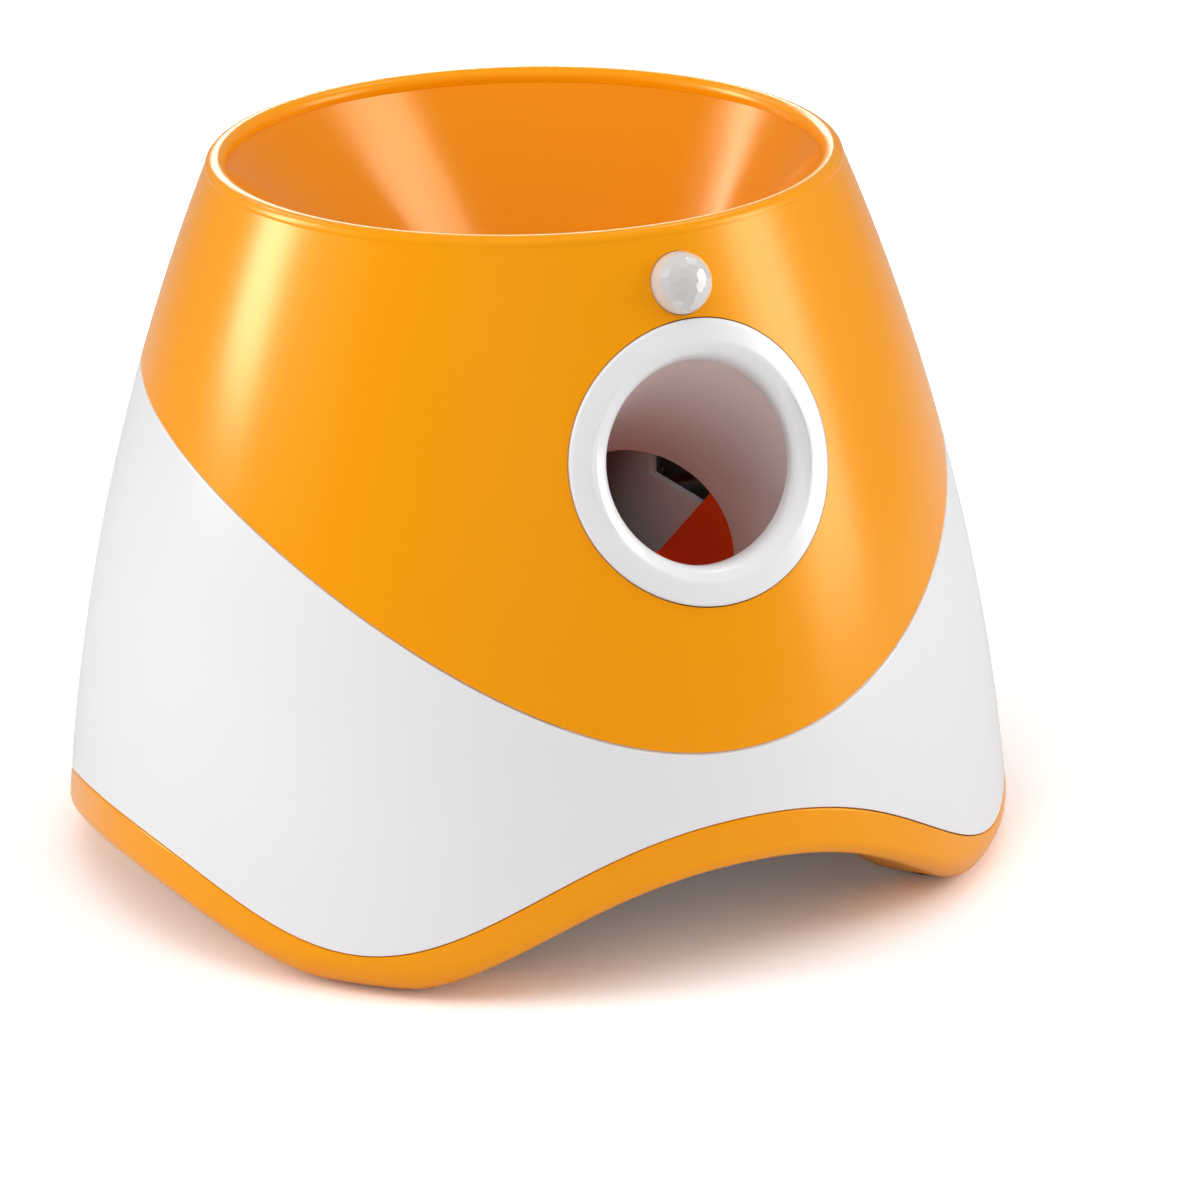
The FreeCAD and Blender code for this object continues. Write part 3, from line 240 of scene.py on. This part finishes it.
def wall_frame(z, back=False):
    """A frame on the wall at the front or back: local +Z looks out, local +Y up the wall."""
    side = 1 if back else -1
    lean = float(wall_lean(z))
    out = Vector((0, side * math.cos(lean), math.sin(lean)))
    up = Vector((0, -side * math.sin(lean), math.cos(lean)))
    across = up.cross(out)
    place = Matrix((across, up, out)).transposed().to_4x4()
    place.translation = Vector((0, side * float(wall_at(z)), z)) * MM
    return place


def round_rows(sections, angles):
    """Sections of radius and height set round the axis; angle 0 is the nozzle's side."""
    sections = np.asarray(sections, float)
    turn = np.asarray(angles)[:, None]
    radius = sections[..., 0]
    return np.stack([radius * np.sin(turn), -radius * np.cos(turn), sections[..., 1]], -1)


# The parting line of the orange and white shells, and the wave of the feet and arches

PANEL_FRONT, PANEL_PEAK, PANEL_BACK = 67.2, 147.5, 65.4
PANEL_RUN = float(wall_at(PANEL_FRONT)) + PANEL_BACK
PANEL_DROP = PANEL_PEAK - PANEL_FRONT
PANEL_TURN = (PANEL_DROP ** 2 + PANEL_RUN ** 2) / (2 * PANEL_DROP)


def panel_line(angles, inset=0.0, grow=0.0):
    """Height of the parting line on the wall at each angle."""
    z = np.full(len(angles), 100.0)
    for _ in range(40):
        y = -(wall_at(z) - inset) * np.cos(angles)
        z = PANEL_PEAK - PANEL_TURN + np.sqrt((PANEL_TURN + grow) ** 2 - (y - PANEL_BACK) ** 2)
    return z


TRIM_HIGH = 13.9
FRONT_ARCH, SIDE_ARCH, FOOT_DIP, ARCH_FLAT = 34.5, 18.5, 0.5, 1.5


def wave(angles):
    """Height of the trim's top edge at each angle."""
    front = FRONT_ARCH + TRIM_HIGH
    side = SIDE_ARCH + TRIM_HIGH
    foot = TRIM_HIGH - FOOT_DIP
    two = (front - side) / 2
    four = ((front + side) / 2 - foot) / 2
    mean = foot + four + ARCH_FLAT
    waves = two * np.cos(2 * angles) + four * np.cos(4 * angles)
    return mean + waves - ARCH_FLAT * np.cos(8 * angles)


def blend_to(start, end, count):
    """Columns that go from one column to another."""
    share = np.linspace(0, 1, count)
    return start[:, None] * (1 - share) + end[:, None] * share


def edge_round(z_edge, inset_sign, turn, count=7):
    """A small round between the outer wall and an edge face, as radius insets and heights."""
    t = np.linspace(0, math.pi / 2, count)
    inset = turn * (1 - np.cos(t))
    rise = turn * (1 - np.sin(t)) * inset_sign
    z = z_edge[:, None] + rise[None, :]
    return wall_at(z) - inset[None, :], z


STEPS = 720
SHELL_COLUMNS, BACK_COLUMNS = 60, 12
EDGE_ROUND = 0.45
ROUND = np.arange(STEPS) * 2 * math.pi / STEPS

# Finishes that several pieces share
# Gloss orange moulded plastic, as on the body
orange = finish_of("orange_gloss_plastic", "#FFA000", 0.24, grain=0.02, mottle=0.012,
                   Specular_Tint=(1.0, 0.82, 0.42, 1.0))
# Gloss white moulded plastic, as on the body
white = finish_of("white_gloss_plastic", "#F0F0F1", 0.24, coat=0.2, grain=0.02, mottle=0.008)

# Upper shell: the orange body with its rolled rim, cut for the nozzle and the sensor
MOUTH = 84.4
LIP_LOW = BODY_HIGH - 4.05
BOWL_WALL = 2.2
RIM_DEEP = 1.5
rim_half = (float(wall_at(BODY_HIGH - 3)) - MOUTH) / 2
rim_z = BODY_HIGH - rim_half
rim_half = (float(wall_at(rim_z)) - MOUTH) / 2
low_out = panel_line(ROUND, 0, SEAM / 2)
low_in = panel_line(ROUND, WALL, SEAM / 2)
edge_r, edge_z = edge_round(low_out, 1, EDGE_ROUND)
outer_z = blend_to(edge_z[:, 0], np.full(STEPS, rim_z), SHELL_COLUMNS)[:, 1:]
t = np.linspace(0, math.pi, 25)[1:]
rim_r = np.tile(MOUTH + rim_half + rim_half * np.cos(t), (STEPS, 1))
rim_y = np.tile(rim_z + rim_half * np.sin(t), (STEPS, 1))
hollow_z = rim_z - RIM_DEEP
inside = [(MOUTH, LIP_LOW), (MOUTH + BOWL_WALL, LIP_LOW), (MOUTH + BOWL_WALL, hollow_z),
          (float(wall_at(hollow_z)) - WALL, hollow_z)]
inside_r = np.tile([p[0] for p in inside], (STEPS, 1))
inside_z = np.tile([p[1] for p in inside], (STEPS, 1))
back_z = blend_to(np.full(STEPS, hollow_z), low_in, BACK_COLUMNS)[:, 1:]
section_r = np.concatenate(
    [edge_r[:, ::-1], wall_at(outer_z), rim_r, inside_r, wall_at(back_z) - WALL], 1)
section_z = np.concatenate([edge_z[:, ::-1], outer_z, rim_y, inside_z, back_z], 1)
shell = loose("upper", grid_mesh("upper", round_rows(np.stack([section_r, section_z], -1), ROUND)))
NOZZLE_Z, SENSOR_Z = 144.5, 191.0
nozzle = wall_frame(NOZZLE_Z)
sensor = wall_frame(SENSOR_Z)
RING, DOME = 39.2, 8.7
NOZZLE_CUT, SENSOR_CUT = (-38, 30), (-12, 10)
mesh = baked(shell, round_bar(RING + SEAM, *NOZZLE_CUT, nozzle),
             round_bar(DOME + SEAM / 2, *SENSOR_CUT, sensor))
new_piece("upper_shell_skin", smooth(mesh, wall_normals), orange,
          nodes=("upper_shell",))

# Lower shell: the white body between the parting line and the trim, cut at the back for the
# button, the three lights and the inlet
top_out = panel_line(ROUND, 0, -SEAM / 2)
top_in = panel_line(ROUND, WALL, -SEAM / 2)
foot_out = wave(ROUND) + SEAM / 2
low_r, low_z = edge_round(foot_out, 1, EDGE_ROUND)
high_r, high_z = edge_round(top_out, -1, EDGE_ROUND)
outer_z = blend_to(low_z[:, 0], high_z[:, 0], SHELL_COLUMNS)[:, 1:-1]
back_z = blend_to(top_in, foot_out, BACK_COLUMNS)
section_r = np.concatenate([low_r[:, ::-1], wall_at(outer_z), high_r, wall_at(back_z) - WALL], 1)
section_z = np.concatenate([low_z[:, ::-1], outer_z, high_z, back_z], 1)
shell = loose("lower", grid_mesh("lower", round_rows(np.stack([section_r, section_z], -1), ROUND)))
BUTTON, INLET, LIGHT = 8.0, 5.0, 1.5
BUTTON_Z, INLET_Z = 100.0, 62.0
LIGHT_PITCH, LIGHT_RISE = 8, 15
SNUG, CUT_DEEP = 0.05, 8
button = wall_frame(BUTTON_Z, True)
inlet = wall_frame(INLET_Z, True)
tools = [round_bar(BUTTON + SEAM, -CUT_DEEP, CUT_DEEP, button),
         round_bar(INLET + SNUG, -CUT_DEEP, CUT_DEEP, inlet)]
for number in (-1, 0, 1):
    spot = button @ Matrix.Translation((number * LIGHT_PITCH * MM, LIGHT_RISE * MM, 0))
    tools.append(round_bar(LIGHT + SNUG, -CUT_DEEP, CUT_DEEP, spot, 48))
mesh = baked(shell, *tools)
new_piece("lower_shell_skin", smooth(mesh, wall_normals), white,
          nodes=("lower_shell",))

# Base trim: the orange channel along the feet and arches, rolled under at its lower edge
CHANNEL, FOOT_LIFT, PLATE_TOP = 110.0, 1.0, 38.5
ROLL_LEAST, ROLL_MORE, ROLL_FADE = 4.0, 6.5, 9
trim_top = wave(ROUND) - SEAM / 2
gap = wave(ROUND) - TRIM_HIGH - FOOT_LIFT
trim_low = FOOT_LIFT + (gap + np.sqrt(gap ** 2 + 1)) / 2
roll = ROLL_LEAST + ROLL_MORE * np.exp((FOOT_LIFT - trim_low) / ROLL_FADE)
t = np.linspace(0, math.pi / 2, 19)
base_r = wall_at(trim_low + roll)
roll_r = base_r[:, None] - roll[:, None] * (1 - np.cos(t))
roll_z = trim_low[:, None] + roll[:, None] * (1 - np.sin(t))
high_r, high_z = edge_round(trim_top, -1, EDGE_ROUND)
outer_z = blend_to(high_z[:, 0], trim_low + roll, 14)[:, 1:-1]
floor_r = blend_to(roll_r[:, -1], np.full(STEPS, CHANNEL + 0.6), 6)[:, 1:]
floor_z = np.tile(trim_low[:, None], (1, 5))
inner_r = np.tile([CHANNEL, CHANNEL, CHANNEL + 0.5, CHANNEL + WALL, CHANNEL + WALL], (STEPS, 1))
back_low = np.minimum(trim_low + WALL, PLATE_TOP - 0.6)
inner_z = np.stack([trim_low + 0.6, np.full(STEPS, PLATE_TOP - 0.5), np.full(STEPS, PLATE_TOP),
                    np.full(STEPS, PLATE_TOP), back_low], 1)
back_z = np.stack([back_low, trim_low + roll + 0.5, trim_top], 1)
back_r = np.stack(
    [roll_r[:, -1], wall_at(trim_low + roll + 0.5) - WALL, wall_at(trim_top) - WALL], 1)
section_r = np.concatenate([high_r[:, ::-1], wall_at(outer_z), roll_r, floor_r, inner_r, back_r], 1)
section_z = np.concatenate([high_z[:, ::-1], outer_z, roll_z, floor_z, inner_z, back_z], 1)
mesh = grid_mesh("trim", round_rows(np.stack([section_r, section_z], -1), ROUND)[:, ::-1])
new_piece("base_trim_skin", smooth(mesh, edge=50), orange,
          nodes=("base_trim",))

# Nozzle ring: a white washer that follows the body, with a soft outer edge and a flared lip
LIP, BORE, THROAT, PROUD = 32.0, 28.0, 9.0, 0.8
FLARE = LIP + 0.9
CREASE = 0.4
ring_white = finish_of("white_satin_ring_plastic", "#F1F1F3", 0.28, coat=0.25, grain=0.02,
                       mottle=0.006)
turns = np.arange(360) * 2 * math.pi / 360
axes = np.array(nozzle.to_3x3())
centre = np.array([0.0, -float(wall_at(NOZZLE_Z)), NOZZLE_Z])


def on_wall(radius, offset):
    """Local height above the nozzle's frame of the wall, raised by an offset, at a ring radius."""
    local = np.stack([radius * np.cos(turns), radius * np.sin(turns), np.zeros(len(turns))], -1)
    for _ in range(30):
        world = centre + local @ axes.T
        spread = np.hypot(world[:, 0], world[:, 1])
        lack = (spread - wall_at(world[:, 2])) * np.cos(wall_lean(world[:, 2])) - offset
        local[:, 2] -= lack
    return local


columns = [on_wall(RING, -WALL), on_wall(RING, 0.0)]
for step in np.linspace(0, 1, 7)[1:]:
    turn = step * math.pi / 2
    columns.append(on_wall(RING - PROUD * (1 - math.cos(turn)), PROUD * math.sin(turn)))
for radius in np.linspace(RING - PROUD, FLARE, 8)[1:]:
    columns.append(on_wall(radius, PROUD))
lip_top = columns[-1][:, 2]
for step in np.linspace(0, 1, 15)[1:]:
    turn = step * math.pi / 2
    radius = BORE + (FLARE - BORE) * (1 - math.sin(turn)) ** 1.2
    column = on_wall(FLARE, PROUD)
    column[:, 0] = radius * np.cos(turns)
    column[:, 1] = radius * np.sin(turns)
    column[:, 2] = lip_top - CREASE * min(1.0, step * 6)
    column[:, 2] += (-THROAT + 1.5 + CREASE - lip_top) * (1 - math.cos(turn))
    columns.append(column)
throat = ((BORE, -THROAT), (BORE + 2.5, -THROAT), (BORE + 4.5, -4.5), (BORE + 4.5, -WALL - 0.4))
for radius, depth in throat:
    column = [radius * np.cos(turns), radius * np.sin(turns), np.full(len(turns), depth)]
    columns.append(np.stack(column, -1))
rows = centre + np.stack(columns, 1) @ axes.T
mesh = grid_mesh("ring", rows[:, ::-1])
new_piece("nozzle_ring_skin", smooth(mesh, edge=40), ring_white,
          nodes=("nozzle_ring",))

# Sensor dome: milky, with flat six-sided facets as a motion sensor's lens has, one on top and
# four rings round it
milky = finish_of("milky_lens_plastic", "#E2E0DE", 0.16, coat=0.4, mottle=0.01,
                  Transmission_Weight=0.15, Subsurface_Weight=0.25,
                  Subsurface_Radius=(0.003, 0.003, 0.003))
FACET, TWIST = math.radians(19), math.radians(15)
SKIRT_FROM, SKIRT_OVER = 1.25, 0.25
cells = [np.array([0.0, 0.0, 1.0])]
for ring_number in (1, 2, 3, 4):
    for number in range(6 * ring_number):
        turn = 2 * math.pi * number / (6 * ring_number) + TWIST
        tilt = ring_number * FACET
        flat = math.sin(tilt)
        cells.append(np.array([flat * math.cos(turn), flat * math.sin(turn), math.cos(tilt)]))
cells = np.array(cells)
DOME_STEPS = 192
DOME_FOOT = 3.0
dome_turns = np.arange(DOME_STEPS) * 2 * math.pi / DOME_STEPS
rows = []
for turn in dome_turns:
    tilts = np.linspace(0.0, math.pi / 2, 96)
    aim = np.stack([np.sin(tilts) * np.cos(turn), np.sin(tilts) * np.sin(turn), np.cos(tilts)], -1)
    near = (aim @ cells.T).max(1)
    flat = (DOME - 0.1) * math.cos(FACET / 2) / near
    share = np.clip((tilts - SKIRT_FROM) / SKIRT_OVER, 0, 1)
    spread = (np.minimum(flat, DOME) * (1 - share) + DOME * share)[:, None]
    foot = [[DOME * math.cos(turn), DOME * math.sin(turn), -DOME_FOOT]]
    rows.append(np.concatenate([aim * spread, foot]))
mesh = grid_mesh("dome", np.array(rows), wrap_columns=False)
mesh.transform(sensor)
new_piece("sensor_dome_lens", smooth(mesh, edge=4), milky,
          nodes=("sensor_dome",))

# Finishes of the pieces kept from the CAD model
finishes = {
    # gloss orange moulded plastic of the bowl, darker than the body's orange as painted shade for
    # the inside of the bowl
    "hopper_bowl": finish_of("orange_bowl_plastic_painted_shade", "#F08B00", 0.17, mottle=0.012,
                             Specular_Tint=(1.0, 0.75, 0.35, 1.0)),
    # satin grey moulded plastic of the barrel, with a warm tint painted in for the warm light
    # inside the bore
    "launch_barrel": finish_of("warm_grey_barrel_plastic_painted_light", "#E2CFCA", 0.38, grain=0.02),
    # satin orange-red moulded plastic of the cradle and the arm
    "ball_cradle": finish_of("red_orange_cradle_plastic", "#F2501C", 0.35, grain=0.02),
    "striker_arm": finish_of("red_orange_arm_plastic", "#F0380A", 0.35, grain=0.02),
    # soft black rubber on the end of the arm
    "striker_pad": finish_of("black_soft_rubber", "#1A1715", 0.7, grain=0.1),
}
# Metals of the shafts, the springs, the screws and the pinion
steel = finish_of("ground_steel", "#9EA0A4", 0.28, metal=1.0)
spring_steel = finish_of("drawn_spring_steel", "#85868A", 0.33, metal=1.0)
zinc = finish_of("zinc_plated_steel", "#B7B7B2", 0.3, metal=1.0)
brass = finish_of("cut_brass", "#C9A24E", 0.28, metal=1.0)
# Moulded plastics of the gears, the frame and the small parts, and the rubber of the feet
acetal = finish_of("white_acetal", "#DAD7CF", 0.42, grain=0.02)
satin = finish_of("white_satin_frame_plastic", "#D3D3D4", 0.45, grain=0.05)
black = finish_of("black_moulded_plastic", "#161617", 0.4, grain=0.05)
rubber = finish_of("black_foot_rubber", "#1C1B1A", 0.75, grain=0.15)
# Boards, cells, motor, spacers, speaker and lights
laminate = finish_of("green_board_laminate", "#1D5C33", 0.35, mottle=0.06)
wrap = finish_of("dark_cell_wrap", "#2B3136", 0.3, coat=0.3)
can_steel = finish_of("drawn_motor_can", "#97989A", 0.32, metal=1.0)
aluminium = finish_of("turned_aluminium", "#BFC1C4", 0.3, metal=1.0)
pressed = finish_of("painted_pressed_steel", "#5A5C60", 0.45, metal=0.3)
lights = finish_of("clear_light_lens", "#D9E6DD", 0.12, coat=0.5, Transmission_Weight=0.3)
for node in ("arm_shaft", "first_axle", "second_axle", "sector_axle", "motor_shaft"):
    finishes[node] = steel
for node in ("arm_spring", "battery_springs", "battery_contacts"):
    finishes[node] = spring_steel
for node in ("gearbox_screws", "board_screws", "housing_screws", "dc_jack_pin"):
    finishes[node] = zinc
for node in ("first_gear", "second_gear", "sector_gear", "arm_quadrant"):
    finishes[node] = acetal
for node in ("gearbox_inner", "gearbox_outer", "shaft_bracket", "base_plate", "battery_door",
             "sensor_retainer"):
    finishes[node] = satin
for node in ("motor_endcap", "button_switch", "speaker_cone", "dc_jack", "board_components"):
    finishes[node] = black
for node in ("foot_pad_front_right", "foot_pad_back_right", "foot_pad_back_left",
             "foot_pad_front_left"):
    finishes[node] = rubber
for node in ("control_board", "sensor_board", "button_board"):
    finishes[node] = laminate
for node in ("speaker_frame", "sensor_can"):
    finishes[node] = pressed
finishes.update({"motor_pinion": brass, "battery_cells": wrap, "motor_can": can_steel,
                 "gearbox_spacers": aluminium, "indicator_lenses": lights, "button_cap": orange})
for node, finish in finishes.items():
    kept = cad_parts[node]
    for part_slot in kept.material_slots:
        part_slot.material = finish

# Floor and background: a white sweep that the camera sees as plain white
floor_mesh = bpy.data.meshes.new("floor")
REACH = 12.0
FLOOR_TONE, FLOOR_SEEN = 0.86, 1.25
FADE_FROM, FADE_TO = 0.2, 0.5
corners = [(-REACH, -REACH, 0), (REACH, -REACH, 0), (REACH, REACH, 0), (-REACH, REACH, 0)]
floor_mesh.from_pydata(corners, [], [(0, 1, 2, 3)])
floor = bpy.data.objects.new("floor", floor_mesh)
scene.collection.objects.link(floor)
paper = bpy.data.materials.new("white_paper_floor")
paper.use_nodes = True
tree = paper.node_tree
tree.nodes.clear()
out = tree.nodes.new("ShaderNodeOutputMaterial")
seen = tree.nodes.new("ShaderNodeLightPath").outputs["Is Camera Ray"]
tint = add_node(tree, "ShaderNodeMix", i0=seen)
tint.data_type = "RGBA"
tint.inputs[6].default_value = (FLOOR_TONE, FLOOR_TONE, FLOOR_TONE, 1)
tint.inputs[7].default_value = (FLOOR_SEEN, FLOOR_SEEN, FLOOR_SEEN, 1)
diffuse = add_node(tree, "ShaderNodeBsdfDiffuse", Color=tint.outputs[2])
place = tree.nodes.new("ShaderNodeTexCoord").outputs["Object"]
away = add_node(tree, "ShaderNodeVectorMath", i0=place)
away.operation = "LENGTH"
fade = add_node(tree, "ShaderNodeMapRange", Value=away.outputs["Value"],
                From_Min=FADE_FROM, From_Max=FADE_TO, To_Min=0.03, To_Max=1.0)
strength = add_node(tree, "ShaderNodeMath", i0=seen, i1=fade.outputs["Result"])
strength.operation = "MULTIPLY"
glow = add_node(tree, "ShaderNodeEmission", Color=(1, 1, 1, 1), Strength=strength.outputs[0])
both = add_node(tree, "ShaderNodeAddShader", i0=diffuse.outputs[0], i1=glow.outputs[0])
tree.links.new(both.outputs[0], out.inputs["Surface"])
floor_mesh.materials.append(paper)

# Studio: an even white surround and softboxes, some seen only in reflections
WORLD_LIGHT = 0.32
world = bpy.data.worlds.new("studio")
scene.world = world
world.use_nodes = True
tree = world.node_tree
tree.nodes.clear()
out = tree.nodes.new("ShaderNodeOutputWorld")
seen = tree.nodes.new("ShaderNodeLightPath").outputs["Is Camera Ray"]
fill = add_node(tree, "ShaderNodeMix", i0=seen, i2=WORLD_LIGHT, i3=1.0)
back = add_node(tree, "ShaderNodeBackground", Color=(1, 1, 1, 1), Strength=fill.outputs[0])
tree.links.new(back.outputs[0], out.inputs["Surface"])


def softbox(name, place, aim, wide, high, power, mirrored=True, lights_up=True):
    """A rectangular studio light that looks at a point, seen in reflections, as light, or both."""
    data = bpy.data.lights.new(name, "AREA")
    data.shape = "RECTANGLE"
    data.size = wide
    data.size_y = high
    data.energy = power
    lamp = bpy.data.objects.new(name, data)
    scene.collection.objects.link(lamp)
    lamp.visible_glossy = mirrored
    lamp.visible_diffuse = lights_up
    lamp.location = place
    lamp.rotation_euler = (Vector(aim) - Vector(place)).to_track_quat("-Z", "Y").to_euler()
    return lamp


MIDDLE = (0, 0, 0.11)
softbox("strip_left", (-1.10, 0.66, 0.64), MIDDLE, 0.36, 0.75, 13, lights_up=False)
softbox("strip_right", (1.00, -0.65, 0.45), MIDDLE, 0.42, 0.8, 6.5, lights_up=False)
softbox("strip_back", (0.45, 1.50, 0.80), (0, 0, 0.2), 0.8, 0.4, 7, lights_up=False)
softbox("bowl_left", (0.545, 0.13, 1.13), (-0.01, 0.06, 0.185), 0.14, 0.3, 1.0, lights_up=False)
softbox("bowl_right", (-0.36, 0.71, 0.91), (0.07, 0.01, 0.19), 0.07, 0.3, 0.9, lights_up=False)
softbox("fill_left", (-1.20, 0.30, 0.70), MIDDLE, 0.8, 0.8, 7.5, mirrored=False)
softbox("fill_right", (1.00, -0.50, 0.60), MIDDLE, 0.8, 0.8, 6, mirrored=False)
softbox("top", (-0.20, -0.35, 1.45), MIDDLE, 1.4, 1.4, 8.6, mirrored=False)
softbox("front", (-0.90, -1.50, 0.70), MIDDLE, 1.0, 1.0, 3.3, mirrored=False)

# Camera: a long lens a little above the body, turned to the left of the nozzle
LENS_PX, FAR, HIGH = 6500.0, 1.7708, 0.7052
YAW, PITCH, ROLL, SWING = 0.0108, 0.3446, -0.0183, 0.4522
camera_data = bpy.data.cameras.new("camera")
SENSOR, PICTURE = 36, 1200
camera_data.sensor_width = SENSOR
camera_data.lens = LENS_PX / PICTURE * SENSOR
camera_data.clip_start = 0.05
camera_data.clip_end = 100
camera = bpy.data.objects.new("camera", camera_data)
scene.collection.objects.link(camera)
reach = math.cos(PITCH)
forward = Vector((math.sin(YAW) * reach, math.cos(YAW) * reach, -math.sin(PITCH)))
level = Vector((math.cos(YAW), -math.sin(YAW), 0))
upright = level.cross(forward)
right = level * math.cos(ROLL) + upright * math.sin(ROLL)
top = -level * math.sin(ROLL) + upright * math.cos(ROLL)
stand = Matrix((right, top, -forward)).transposed().to_4x4()
stand.translation = Vector((0, -FAR, HIGH))
camera.matrix_world = Matrix.Rotation(-SWING, 4, "Z") @ stand
scene.camera = camera
scene.view_settings.view_transform = "Standard"
